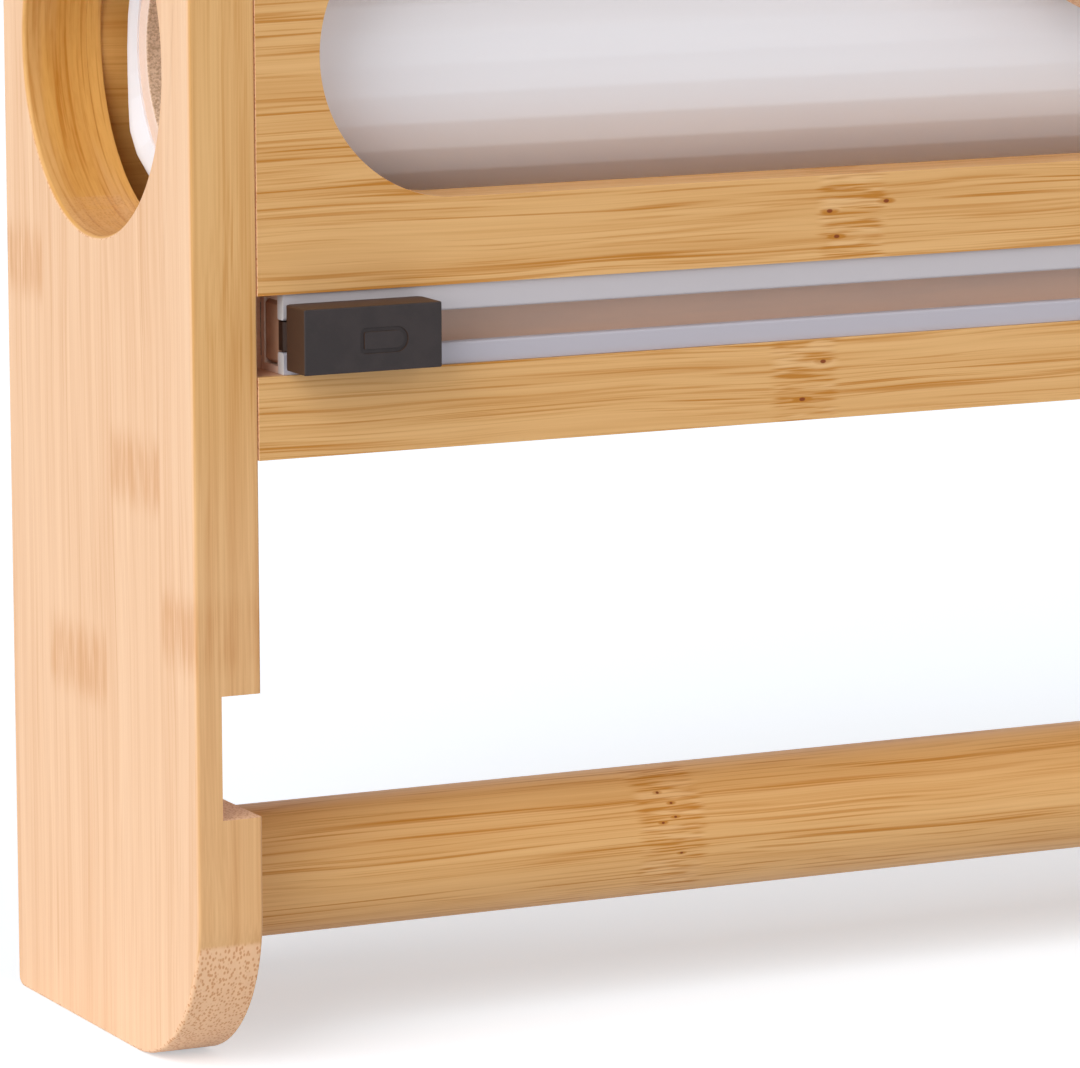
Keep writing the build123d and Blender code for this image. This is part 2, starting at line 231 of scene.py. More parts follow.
class DispenserSettings(PropertyGroup):
    """All the settings of the dispenser."""

    case: PointerProperty(type=CaseSizes)
    cutter: PointerProperty(type=CutterSizes)
    film: PointerProperty(type=FilmSizes)
    finishes: PointerProperty(type=Finishes)
    stage: PointerProperty(type=StageSettings)


def settings():
    """The dispenser's settings in this scene."""
    return bpy.context.scene.dispenser


# ------------------------------------------------------------------ modelling helpers
def activate(*pieces):
    """Selects these pieces alone; the last one is the active one."""
    bpy.ops.object.select_all(action="DESELECT")
    for piece in pieces:
        piece.select_set(True)
        bpy.context.view_layer.objects.active = piece


def settle(piece):
    """Moves the piece's place, turn and scale into its mesh."""
    activate(piece)
    bpy.ops.object.transform_apply(location=True, rotation=True, scale=True)


@contextmanager
def editing(piece):
    """Edit mode on one piece, with nothing in it selected."""
    activate(piece)
    bpy.ops.object.mode_set(mode="EDIT")
    bpy.ops.mesh.select_all(action="DESELECT")
    yield
    bpy.ops.object.mode_set(mode="OBJECT")


def pick_faces(piece, wanted):
    """Selects the faces for which wanted is true of every corner."""
    bpy.ops.mesh.select_mode(type="FACE")
    bpy.ops.mesh.select_all(action="DESELECT")
    mesh = bmesh.from_edit_mesh(piece.data)
    for face in mesh.faces:
        face.select_set(all(wanted(vertex.co) for vertex in face.verts))
    mesh.select_flush_mode()
    bmesh.update_edit_mesh(piece.data)


def pick_edges(piece, wanted):
    """Selects the edges for which wanted is true."""
    bpy.ops.mesh.select_mode(type="EDGE")
    bpy.ops.mesh.select_all(action="DESELECT")
    mesh = bmesh.from_edit_mesh(piece.data)
    for edge in mesh.edges:
        edge.select_set(wanted(edge))
    bmesh.update_edit_mesh(piece.data)


def pick_edges_along(piece, axis, wanted=lambda middle: True):
    """Selects the edges parallel to an axis for which wanted is true of the middle."""
    def along(edge):
        start, end = (vertex.co for vertex in edge.verts)
        run = (end - start).normalized()
        return abs(run[axis]) > 0.999 and wanted((start + end) / 2)

    pick_edges(piece, along)


def pick_rim(piece, axis, place, wanted=lambda corner: True):
    """Selects the sharp edges that bound the flat face at this place on the axis."""
    def bounds(edge):
        flat = all(near(vertex.co[axis], place) and wanted(vertex.co) for vertex in edge.verts)
        return flat and edge.calc_face_angle(0) > radians(40)

    pick_edges(piece, bounds)


def near(value, target):
    """Whether two lengths are the same to a hundredth of a millimetre."""
    return abs(value - target) < TOUCH


def centre_of(low, high):
    """The middle between two corners."""
    return [(a + b) / 2 for a, b in zip(low, high)]


def added(name):
    """The object just added, named, with its place, turn and scale in its mesh."""
    piece = bpy.context.object
    piece.name = piece.data.name = name
    settle(piece)
    return piece


def block(name, low, high):
    """A rectangular block between two corners, ready to be shaped."""
    low, high = Vector(low), Vector(high)
    bpy.ops.mesh.primitive_cube_add(size=1, location=(low + high) / 2, scale=high - low)
    return added(name)


def rod(name, radius, low, high, centre, axis=0, vertices=96):
    """A round rod along an axis from low to high, centred on centre's other two coordinates."""
    middle = Vector(centre)
    middle[axis] = (low + high) / 2
    upright = ((0, radians(90), 0), (radians(90), 0, 0), (0, 0, 0))[axis]
    bpy.ops.mesh.primitive_cylinder_add(vertices=vertices, radius=radius, depth=high - low,
                                        location=middle, rotation=upright)
    return added(name)


def bevel_picked(width, segments):
    """Rounds the selected edges."""
    bpy.ops.mesh.bevel(offset=width, offset_type="OFFSET", segments=segments, profile=0.5,
                       affect="EDGES", clamp_overlap=True)


def cut(piece, *tools):
    """Cuts the tools out of the piece and removes them."""
    for tool in tools:
        modifier = piece.modifiers.new("cut", "BOOLEAN")
        modifier.operation = "DIFFERENCE"
        modifier.solver = "EXACT"
        modifier.object = tool
        activate(piece)
        bpy.ops.object.modifier_apply(modifier=modifier.name)
        bpy.data.objects.remove(tool)


def soften(piece, width, segments=2, angle=50):
    """Rounds every edge sharper than the angle."""
    modifier = piece.modifiers.new("soften", "BEVEL")
    modifier.width = width
    modifier.segments = segments
    modifier.limit_method = "ANGLE"
    modifier.angle_limit = radians(angle)
    modifier.use_clamp_overlap = True
    activate(piece)
    bpy.ops.object.modifier_apply(modifier=modifier.name)


def finish_piece(piece, body, material, slot, *nodes, angle=35):
    """Shades the piece, gives it its material and sets it on its body in place of its nodes."""
    activate(piece)
    bpy.ops.object.shade_smooth_by_angle(angle=radians(angle))
    modifier = piece.modifiers.new("normals", "WEIGHTED_NORMAL")
    modifier.keep_sharp = True
    bpy.ops.object.modifier_apply(modifier=modifier.name)
    piece.data.materials.clear()
    piece.data.materials.append(material)
    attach(piece, body)
    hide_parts(*nodes)


def mirror_copy(piece, name):
    """A copy of the piece on the other side of the object, with its own mesh."""
    copy = piece.copy()
    copy.data = piece.data.copy()
    copy.name = copy.data.name = name
    bpy.context.collection.objects.link(copy)
    copy.scale = (-1, 1, 1)
    settle(copy)
    with editing(copy):
        bpy.ops.mesh.select_all(action="SELECT")
        bpy.ops.mesh.normals_make_consistent(inside=False)
    return copy


# ------------------------------------------------------------------ shader helpers
def maths(operation):
    """A method that works on the value, and on another if the operation takes two."""
    def work(self, *others):
        return self.shading.node("ShaderNodeMath", {"operation": operation}, self, *others)

    return work


class Value:
    """A shader socket that Python arithmetic can use. floor is the whole number below, fraction
    is what is left over from it, and most is the larger of two."""

    def __init__(self, shading, socket):
        self.shading = shading
        self.socket = socket

    __add__ = __radd__ = maths("ADD")
    __mul__ = __rmul__ = maths("MULTIPLY")
    __sub__ = maths("SUBTRACT")
    __truediv__ = maths("DIVIDE")
    __abs__ = maths("ABSOLUTE")
    floor = maths("FLOOR")
    fraction = maths("FRACT")
    most = maths("MAXIMUM")

    def __rsub__(self, other):
        return self.shading.node("ShaderNodeMath", {"operation": "SUBTRACT"}, other, self)

    def step(self, low, high):
        """A smooth step, 0 at low and 1 at high, which may be below low."""
        if low < high:
            return self._ramp(low, high, 0.0, 1.0)
        return self._ramp(high, low, 1.0, 0.0)

    def _ramp(self, low, high, start, end):
        return self.shading.node("ShaderNodeMapRange", {"interpolation_type": "SMOOTHSTEP"}, self,
                                 low, high, start, end)


class Shading:
    """A shader's node tree, built one node at a time."""

    def __init__(self, tree):
        self.tree = tree
        tree.nodes.clear()

    def node(self, kind, choices, *inputs, output=0, **named):
        """Adds a node: its choices first, then its sockets in order or by name."""
        made = self.tree.nodes.new(kind)
        for key, choice in choices.items():
            setattr(made, key, choice)
        sockets = list(enumerate(inputs)) + [(key.replace("_", " "), v) for key, v in named.items()]
        for key, value in sockets:
            self.feed(made.inputs[key], value)
        return Value(self, made.outputs[output])

    def feed(self, socket, value):
        """Links a value to a socket, or sets the socket to it."""
        if isinstance(value, Value):
            self.tree.links.new(value.socket, socket)
        elif value is not None:
            socket.default_value = value

    def seen(self):
        """1 for what the camera sees, straight or by way of metal or glass, and 0 for light."""
        rays = [self.node("ShaderNodeLightPath", {}, output=f"Is {kind} Ray")
                for kind in ("Camera", "Glossy", "Transmission")]
        return rays[0].most(rays[1]).most(rays[2])


class Finish(Shading):
    """A procedural material."""

    def __init__(self, name):
        self.material = bpy.data.materials.new(name)
        self.material.use_nodes = True
        super().__init__(self.material.node_tree)
        self.looks = settings().finishes
        self.shader = self.tree.nodes.new("ShaderNodeBsdfPrincipled")
        self.output = self.tree.nodes.new("ShaderNodeOutputMaterial").inputs["Surface"]
        self.tree.links.new(self.shader.outputs["BSDF"], self.output)
        self.spot = self.place()

    def set(self, **sockets):
        """Sets the shader's own sockets."""
        for key, value in sockets.items():
            self.feed(self.shader.inputs[key.replace("_", " ")], value)

    def place(self):
        """X, Y and Z on the piece, in millimetres."""
        spot = self.node("ShaderNodeTexCoord", {}, output="Object")
        return [self.node("ShaderNodeSeparateXYZ", {}, spot, output=i) * 1000 for i in range(3)]

    def facing(self):
        """The surface's normal on the piece, as three values."""
        normal = self.node("ShaderNodeTexCoord", {}, output="Normal")
        return [self.node("ShaderNodeSeparateXYZ", {}, normal, output=i) for i in range(3)]

    def vector(self, x, y, z):
        """Three values as one vector."""
        return self.node("ShaderNodeCombineXYZ", {}, x, y, z)

    def noise(self, x, y, z, detail=2.0, roughness=0.5):
        """Smooth noise, one feature to a unit."""
        return self.node("ShaderNodeTexNoise", {}, Vector=self.vector(x, y, z), Scale=1.0,
                         Detail=detail, Roughness=roughness)

    def grain(self, along_x, along_y, along_z, *details):
        """Smooth noise with features of these sizes, in millimetres."""
        x, y, z = self.spot
        return self.noise(x / along_x, y / along_y, z / along_z, *details)

    def cells(self, x, y, z, randomness=1.0):
        """The distance to the nearest of scattered points, one to a unit."""
        return self.node("ShaderNodeTexVoronoi", {}, Vector=self.vector(x, y, z), Scale=1.0,
                         Randomness=randomness)

    def chance(self, x, y, z):
        """A random value for each whole place."""
        return self.node("ShaderNodeTexWhiteNoise", {}, Vector=self.vector(x, y, z))

    def mix(self, amount, first, second):
        """Two colours mixed."""
        made = self.tree.nodes.new("ShaderNodeMix")
        made.data_type = "RGBA"
        self.feed(made.inputs[0], amount)
        self.feed(made.inputs[6], self.opaque(first))
        self.feed(made.inputs[7], self.opaque(second))
        return Value(self, made.outputs[2])

    def opaque(self, value):
        """A colour with its alpha, from a value, a colour or the name of a setting."""
        if isinstance(value, str):
            value = getattr(self.looks, value)
        return value if isinstance(value, Value) else (*value, 1.0)

    def done(self, height, distance, strength, **sockets):
        """Sets the shader's own sockets, raises the surface by height times distance, and gives
        the material."""
        self.set(**sockets, Normal=self.node("ShaderNodeBump", {}, Strength=strength,
                                             Distance=distance, Height=height))
        return self.material


# ------------------------------------------------------------------ bamboo
class Bamboo(Finish):
    """Laminated bamboo. axes are the numbers of the axes along, across and through the strips,
    and the seed sets a board's grain apart from the others'."""

    def __init__(self, name, axes, seed):
        super().__init__(name)
        self.seed = seed
        self.along, self.across, self.through = (self.spot[axis] for axis in axes)
        normal = self.facing()
        self.end = abs(normal[axes[0]])
        self.broad = abs(normal[axes[2]])
        drift = self.noise(self.along / 110, self.across / 26 + seed, self.through / 26) - 0.5
        self.bent = self.across + drift * 5.0
        self.bent_through = self.through + drift * 2.5

    def fibres(self, run, pitch, shift, detail=2.0):
        """Noise drawn out along the grain."""
        return self.noise(self.along / run, self.bent / pitch + shift + self.seed,
                          self.bent_through / pitch + shift, detail)

    def straight(self, run, pitch, depth, detail=2.0, shift=0.0):
        """Noise drawn out along the grain that doesn't wander."""
        return self.noise(self.along / run, self.across / pitch + (self.seed + shift),
                          self.through / depth, detail)

    def streaks(self, run, pitch, shift, low, high):
        """Dark fibres with tapered ends, closer in some places than in others."""
        close = self.fibres(run * 1.7, pitch * 5, shift + 9.1).step(0.32, 0.62)
        return self.fibres(run, pitch, shift, 1.0).step(low, high) * close

    def strips(self, width, seam):
        """Each glued strip's own tint, and the seams between them."""
        strip = (self.across - seam) / width
        tint = self.chance(strip.floor(), (self.through / 6.0).floor(), self.seed)
        return tint, abs(strip.fraction() - 0.5).step(0.5 - 0.2 / width, 0.5)

    def nodes(self, marks, soft, dot_size=1.0):
        """Where the strips have nodes, their dark dots, and the stain round the dots: values
        from 0 to 1. Each mark is its place along and across the grain, half its length, half
        its width, and the places of its dots from its own, in millimetres."""
        ragged = (self.noise(self.seed, self.across / 0.28, self.through / 0.28, 1.0) - 0.5) * 3.0
        zones, dots, stains = [], [], []
        for place, centre, half_length, half_width, spots in marks:
            mark = abs(self.along - place + ragged).step(half_length + soft, half_length - soft)
            wide = abs(self.across - centre).step(half_width + 1.0, half_width - 1.0)
            zones.append(mark * wide)
            for dot_along, dot_across in spots:
                x = (self.along - place - dot_along) / (0.54 * dot_size)
                y = (self.across - centre - dot_across) / (0.32 * dot_size)
                dots.append((x * x + y * y + ragged * 0.25).step(1.6, 0.5))
                stains.append((x * x / 14 + y * y / 3 + ragged * 0.2).step(1.3, 0.1))
        return [reduce(Value.most, found) if found else 0.0 for found in (zones, dots, stains)]

    def burnish(self, wood, bore):
        """The wood inside a turned hole, and where that is. bore is its Y, Z and radius."""
        y, z = self.spot[1] - bore[0], self.spot[2] - bore[1]
        inside = (y * y + z * z).step((bore[2] + 0.6) ** 2, (bore[2] + 0.2) ** 2)
        ply = self.chance(((self.through + 1.3) / 5.5).floor(), self.seed, 0.0)
        broad = self.noise(self.through / 1.9, y / 45, z / 45)
        rings = self.noise(self.through / 0.62, y / 26, z / 26, 1.0)
        torn = self.noise(self.through / 0.5, y / 3, z / 3)
        dark = broad.step(0.3, 0.7) * 0.3 + rings.step(0.46, 0.7) * 0.44 + ply * 0.16
        dark = dark + torn.step(0.4, 0.7) * 0.12
        plain = self.noise(self.through / 3.3 + 5, y / 60, z / 60).step(0.45, 0.62)
        gold = self.mix(plain * 0.55, "bore_light", "board_light")
        gold = self.mix(dark, gold, "bore_dark")
        return self.mix(inside, wood, gold), inside

    def cut_ends(self, wood, share):
        """The fibre bundles where the grain is cut across."""
        cells = self.cells(self.along, self.bent / 0.56, self.bent_through / 0.56, 0.9)
        bundle = cells.step(0.5, 0.24)
        ground = self.mix(0.66, wood, "end_light")
        return self.mix(share, wood, self.mix(bundle * 0.62, ground, "end_dark")), bundle

    def finish(self, wood, hairs, bore, relief, strength):
        """Burnishes a bore, cuts the ends, raises the fibres and adds a satin lacquer."""
        ends = self.end.step(0.17, 0.21)
        if bore is not None:
            wood, inside = self.burnish(wood, bore)
            ends = ends * (1 - inside) + inside * self.end.step(0.8, 0.99) * 0.35
        wood, bundle = self.cut_ends(wood, ends)
        return self.done(hairs - 0.25 * bundle * ends, relief, strength, Base_Color=wood,
                         Roughness=0.42 + 0.1 * (hairs + ends), IOR=1.45, Specular_IOR_Level=0.3,
                         Coat_Weight=0.1, Coat_Roughness=0.35)


def panel_bamboo(name, marks, strips, bore, seed):
    """A side panel: tan on its edges, with painted light that makes them paler towards the foot,
    and pale and fine on its broad faces, a paleness that is partly their grain and partly painted
    light.
    """
    wood = Bamboo(name, (2, 1, 0), seed)
    tint, seams = wood.strips(*strips)
    hairs = wood.fibres(60, 0.3, 23.3)
    bands = wood.fibres(120, 2.4, 7.7).step(0.32, 0.68)
    shade = wood.fibres(240, 11.0, 3.1).step(0.3, 0.7) * 0.16 + bands * 0.25 + tint * 0.1
    shade = shade + wood.streaks(56, 0.9, 11.7, 0.52, 0.72) * 0.26
    shade = shade + hairs.step(0.3, 0.7) * 0.2 + seams * 0.1

    zone = wood.nodes(marks, 3.2)[0]
    dashes = wood.straight(14, 0.24, 0.24, 1.0)
    smudge = wood.straight(14, 2.6, 2.2)
    marked = zone * (dashes.step(0.35, 0.7) * 0.4 + smudge.step(0.3, 0.7) * 0.34)
    # Painted light: the broad faces take the paler copy of the wood, partly their grain and partly
    # the brightness of the light on them.
    face = wood.broad.step(0.55, 0.9)
    tan = wood.mix((shade + marked).step(-0.1, 1.1), "board_light", "board_dark")
    pale = wood.mix((shade + marked).step(-0.1, 1.2), "face_light", "face_dark_and_painted_light")
    # Painted light: the tan edges grow paler towards the foot.
    painted_light_near_foot = wood.spot[2].step(130, 80)
    tan = wood.mix(painted_light_near_foot * 0.26, tan, "face_light")
    return wood.finish(wood.mix(face, tan, pale), hairs, bore, 0.02 * MM, 0.4)


def board_bamboo(name, axes, marks, strips, seed, bore=None, painted_bounce=0.0, groove=None, dot_size=1.0,
                 strong=1.0):
    """A board or bar, with golden streaks and nodes. painted_bounce, from 0 to 1, is a painted glow
    of light bounced inside the box, which turns the wood towards the hole's orange. groove is where
    painted shade on a groove's walls begins along Y, and its lowest and highest Z. strong is the
    strength of the dark streaks."""
    wood = Bamboo(name, axes, seed)
    tint, seams = wood.strips(*strips)
    hairs = wood.fibres(70, 0.35, 23.3)
    zone, dots, stain = wood.nodes(marks, 1.6, dot_size)

    shade = wood.fibres(240, 9.0, 3.1).step(0.3, 0.7) * 0.16
    shade = shade + wood.fibres(95, 2.6, 7.7).step(0.35, 0.7) * 0.2 + tint * 0.06
    shade = shade + wood.streaks(75, 0.62, 11.7, 0.5, 0.68) * 0.54 * strong
    shade = shade + wood.streaks(40, 0.38, 17.0, 0.48, 0.7) * 0.34 * strong
    shade = shade + hairs.step(0.3, 0.7) * 0.12 + seams * 0.1
    short = wood.straight(12, 0.42, 0.42, 1.0)
    pale = wood.straight(14, 1.5, 1.5, shift=7)
    patch = zone * pale.step(0.46, 0.6)
    strokes = short.step(0.45, 0.68) * 0.6 * strong + 0.06
    shade = shade * (1 - patch * 0.7 * strong) + zone * strokes
    shade = (shade + stain * 0.6).step(-0.1, 1.1)

    # Painted light: boards inside the box lean towards the hole's orange, a glow of light bounced
    # inside the box.
    light = wood.mix(painted_bounce, "board_light", "bore_light")
    dark = wood.mix(painted_bounce, "board_dark", "bore_dark")
    colour_here = wood.mix(patch * 0.22 * strong, wood.mix(shade, light, dark), "node_pale")
    colour_here = wood.mix(dots * 0.95, colour_here, "wood_knot")
    # Painted shade: the groove's walls lose their grain to a flat mauve-brown, the tint of wood in
    # shade.
    if groove is not None:
        deep, low, high = groove
        y, z = wood.spot[1], wood.spot[2]
        walls = y.step(deep, deep + 0.6) * z.step(low - 0.4, low) * z.step(high + 0.4, high)
        colour_here = wood.mix(walls * 0.8, colour_here, "groove")
    return wood.finish(colour_here, hairs, bore, 0.015 * MM, 0.35)


# ------------------------------------------------------------------ other materials
def film_finish():
    """Clear film wound many times over, so that it looks milky, with a gloss along the roll."""
    finish = Finish("wound_film")
    fine = finish.grain(60, 0.7, 0.7, 3.0)
    slow = finish.grain(140, 9, 9)
    end = abs(finish.facing()[0]).step(0.4, 0.9)
    milky = finish.mix(slow.step(0.35, 0.7) * 0.3, "film", "film_shade")
    milky = finish.mix(end, milky, "film_end")
    return finish.done(fine, 0.004 * MM, 0.3, Base_Color=milky, Roughness=0.42 + 0.08 * fine,
                       IOR=1.5, Coat_Weight=0.1, Coat_Roughness=0.3)


def card_finish():
    """Grey-brown cardboard with a speckle of darker fibres in the bore, and pale cut ends."""
    finish = Finish("core_cardboard")
    inside = abs(finish.facing()[0]).step(0.8, 0.5)
    specks = finish.grain(0.5, 0.42, 0.42, 2.0, 0.6)
    layers = finish.grain(8, 0.5, 0.5)
    card = finish.mix(specks.step(0.36, 0.66), "card", "card_speck")
    card = finish.mix(inside, "card_end", card)
    card = finish.mix(layers.step(0.5, 0.75) * 0.15, card, "card_speck")
    return finish.done(specks, 0.15 * MM, 0.6, Base_Color=card, Roughness=0.86)


def lip_back():
    """Where the rail's lips end towards the back, along Y in millimetres."""
    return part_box("cutter_rail")[0][1] / MM + LIP_DEPTH


def rail_finish():
    """White plastic lips, with painted shade on the lower lip and painted light on their end faces,
    and a clear base that shows the wood behind, made bright with painted light.
    """
    finish = Finish("rail_plastic")
    y, z = finish.spot[1:]
    low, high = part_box("cutter_rail")
    back = lip_back()
    middle = (low[2] + high[2]) / 2 / MM
    haze = finish.grain(25, 3, 3, 3.0)
    # Painted light: the end faces turn paler, as the light from the left falls on them.
    cut = abs(finish.facing()[0]).step(0.5, 0.9)
    # Painted shade: the lower lip darker and bluer than the upper.
    lips = finish.mix(z.step(middle - 2, middle + 2), "rail_low", "rail")
    lips = finish.mix(cut, lips, "rail_end")
    # The base shows the wood's brown through the plastic, made bright with painted light against
    # its shade in the rail.
    plastic = finish.mix(y.step(back - 0.4, back + 0.2), lips, "rail_base")
    plastic = finish.mix(haze.step(0.4, 0.7) * 0.12, plastic, "rail_haze")
    return finish.done(finish.grain(0.7, 0.7, 0.7), 0.02 * MM, 0.5, Base_Color=plastic,
                       Roughness=0.42 + 0.1 * haze, IOR=1.49)


def block_finish():
    """Black moulded plastic with a fine spark-eroded texture, and a painted reflection of the wood
    on its sides.
    """
    finish = Finish("black_plastic")
    texture = finish.grain(0.25, 0.25, 0.25, 2.0, 0.6)
    cloud = finish.grain(4, 4, 4)
    # Painted reflection: the block's sides take the brown of the wood that they face.
    cast = abs(finish.facing()[1]).step(0.8, 0.3)
    black = finish.mix(cloud.step(0.35, 0.7) * 0.3, "block", "block_worn")
    black = finish.mix(cast, black, "block_side")
    return finish.done(texture, 0.03 * MM, 0.6, Base_Color=black, Roughness=0.5 + 0.15 * texture,
                       IOR=1.5, Specular_IOR_Level=0.38)


def shoe_finish():
    """Brown plastic whose light, warm tone is partly painted light reflected from the wood inside
    the rail, and black where the rib lies between the rail's lips.
    """
    finish = Finish("brown_plastic")
    y = finish.spot[1]
    back = lip_back()
    worn = finish.grain(3, 3, 3, 3.0)
    grit = finish.grain(0.3, 0.3, 0.3)
    # Painted light: the shoe's light, warm brown stands partly for light reflected from the wood
    # inside the rail.
    brown = finish.mix(worn.step(0.35, 0.7) * 0.3, "shoe", "shoe_worn")
    brown = finish.mix(y.step(back + 0.3, back - 0.3), brown, "shoe_rib")
    return finish.done(grit, 0.02 * MM, 0.5, Base_Color=brown, Roughness=0.5 + 0.15 * grit,
                       IOR=1.5, Specular_IOR_Level=0.3)


def steel_finish():
    """Ground steel, with fine lines along it."""
    finish = Finish("ground_steel")
    lines = finish.grain(12, 0.12, 0.12)
    steel = finish.mix(lines.step(0.4, 0.7) * 0.3, "steel", "steel_line")
    return finish.done(lines, 0.01 * MM, 0.5, Base_Color=steel, Metallic=1.0,
                       Roughness=0.25 + 0.15 * lines)


def tape_finish():
    """Grey foam tape."""
    finish = Finish("foam_tape")
    x, y, z = finish.spot
    cells = finish.cells(x / 0.5, y / 0.5, z / 0.5)
    tape = finish.mix(cells.step(0.2, 0.6) * 0.4, "tape", "tape_cell")
    return finish.done(cells, 0.1 * MM, 0.6, Base_Color=tape, Roughness=0.9)


def floor_finish():
    """A white floor that keeps its shadows."""
    finish = Finish("white_floor")
    cloud = finish.grain(400, 400, 400)
    white = finish.mix(cloud, (0.82, 0.87, 0.93), (0.84, 0.89, 0.95))
    finish.set(Base_Color=white, Roughness=0.9, Specular_IOR_Level=0.0)
    glow = finish.node("ShaderNodeEmission", {}, Color=(0.945, 0.965, 1.0, 1.0),
                       Strength=finish.seen() * 0.46)
    lit = Value(finish, finish.shader.outputs["BSDF"])
    finish.feed(finish.output, finish.node("ShaderNodeAddShader", {}, lit, glow))
    return finish.material


# ------------------------------------------------------------------ pieces
def seamed(node):
    """The box of a board between the side panels, short of them by the width of a seam."""
    low, high = (Vector(corner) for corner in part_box(node))
    gap = Vector((settings().case.seam_gap, 0, 0))
    return low + gap, high - gap


def slot_tools(sizes):
    """The tools that cut the L-shaped slot in the left side panel."""
    y, z = centre_of(*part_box("paper_bar"))[1:]
    half = sizes.slot_width / 2
    turn = sizes.slot_lip + half
    low, high = -X_SIDE - sizes.slot_depth, -X_SIDE + 5 * MM
    seat = rod("seat", half, low, high, (0, y, z), vertices=64)
    elbow = rod("elbow", half, low, high, (0, y, turn), vertices=64)
    upright = block("upright", (low, y - half, z), (high, y + half, turn))
    entry = block("entry", (low, Y_FRONT - 10 * MM, turn - half), (high, y, turn + half))
    return seat, elbow, upright, entry


class DISPENSER_OT_sides(Operator):
    """The two side panels, with their feet, loading holes and bar slots"""

    bl_idname = "dispenser.sides"
    bl_label = "Side panels"

    def execute(self, context):
        sizes = settings().case
        panel = block("side_left", (-X_OUTER, Y_FRONT, 0), (-X_SIDE, Y_BACK, HEIGHT))
        hole_y = centre_of(*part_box("left_liner"))[1]
        with editing(panel):
            pick_edges_along(panel, 0, lambda m: near(m.y, Y_FRONT) and near(m.z, 0))
            bevel_picked(sizes.foot_radius, 32)
            pick_edges_along(panel, 0, lambda m: near(m.y, Y_BACK) or near(m.z, HEIGHT))
            bevel_picked(sizes.corner_radius, 6)
        cut(panel, rod("hole", sizes.hole_radius, -X_OUTER - 9 * MM, -X_SIDE + 9 * MM,
                       (0, hole_y, sizes.hole_height), vertices=HOLE_SIDES))
        in_hole = sizes.hole_radius + MM
        centre = Vector((0, hole_y, sizes.hole_height))
        with editing(panel):
            pick_rim(panel, 0, -X_OUTER)
            bevel_picked(sizes.outer_round, 4)
            pick_rim(panel, 0, -X_SIDE, lambda c: (c - centre).yz.length > in_hole)
            bevel_picked(sizes.inner_round, 3)
        cut(panel, *slot_tools(sizes))
        soften(panel, sizes.fine_round)
        other = mirror_copy(panel, "side_right")
        marks = [(65, 14.8, 5.5, 13.2, ()), (77, -31, 5.5, 7, ()), (102, -12.5, 5.5, 11, ()),
                 (133, 37.5, 5.5, 8.5, ()), (196, -31, 5, 7, ()), (214, 14, 5, 13, ())]
        bore = (hole_y / MM, sizes.hole_height / MM, sizes.hole_radius / MM)
        wood = panel_bamboo("bamboo_left_side", marks, (26.3, 1.5), bore, 2.0)
        finish_piece(panel, "cabinet", wood, "bamboo", "left_side_panel")
        marks = [(52, 22, 5.5, 13, ()), (94, -6, 5.5, 12, ()), (141, -32, 5, 8, ()),
                 (188, 36, 5, 9, ())]
        wood = panel_bamboo("bamboo_right_side", marks, (26.5, -4.0), bore, 7.0)
        finish_piece(other, "cabinet", wood, "bamboo", "right_side_panel")
        return {"FINISHED"}


class DISPENSER_OT_front(Operator):
    """The front panel, with the film window and the groove for the rail"""

    bl_idname = "dispenser.front"
    bl_label = "Front panel"

    def execute(self, context):
        sizes = settings().case
        low, high = seamed("front_panel")
        panel = block("front_board", low, high)
        z0 = sizes.window_bottom
        z1 = z0 + sizes.window_height
        half = X_SIDE - sizes.window_margin
        window = block("window", (-half, low[1] - 5 * MM, z0), (half, high[1] + 5 * MM, z1))
        with editing(window):
            pick_edges_along(window, 1)
            bevel_picked(sizes.window_height * HALF_ROUND, 40)
        cut(panel, window)
        with editing(panel):
            for y in (low[1], high[1]):
                pick_rim(panel, 1, y)
                bevel_picked(sizes.inner_round, 3)
        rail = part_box("cutter_rail")
        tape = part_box("rail_tape")
        gap = sizes.groove_gap
        groove = block("groove", (-X_SIDE - MM, low[1] - MM, rail[0][2] - gap),
                       (X_SIDE + MM, tape[1][1], rail[1][2] + gap))
        cut(panel, groove)
        soften(panel, sizes.fine_round * 0.6)
        marks = [(-55, 142, 6, 8, ((6.7, 1.9), (-4.5, 0.7), (-3.1, -3.8))),
                 (-64.3, 113, 6, 8, ((3.6, 3.4), (-0.5, -3))), (121, 206, 6, 8, ((2, 3), (-4, 1))),
                 (-20, 206, 6, 8, ((4, -2),)), (140, 113, 6, 8, ((-3, 2), (2, -3)))]
        walls = ((low[1] + MM) / MM, (rail[0][2] - gap) / MM, (rail[1][2] + gap) / MM)
        wood = board_bamboo("bamboo_front", (0, 2, 1), marks, (17.5, 133.0), 8.7, groove=walls)
        finish_piece(panel, "cabinet", wood, "bamboo", "front_panel")
        return {"FINISHED"}


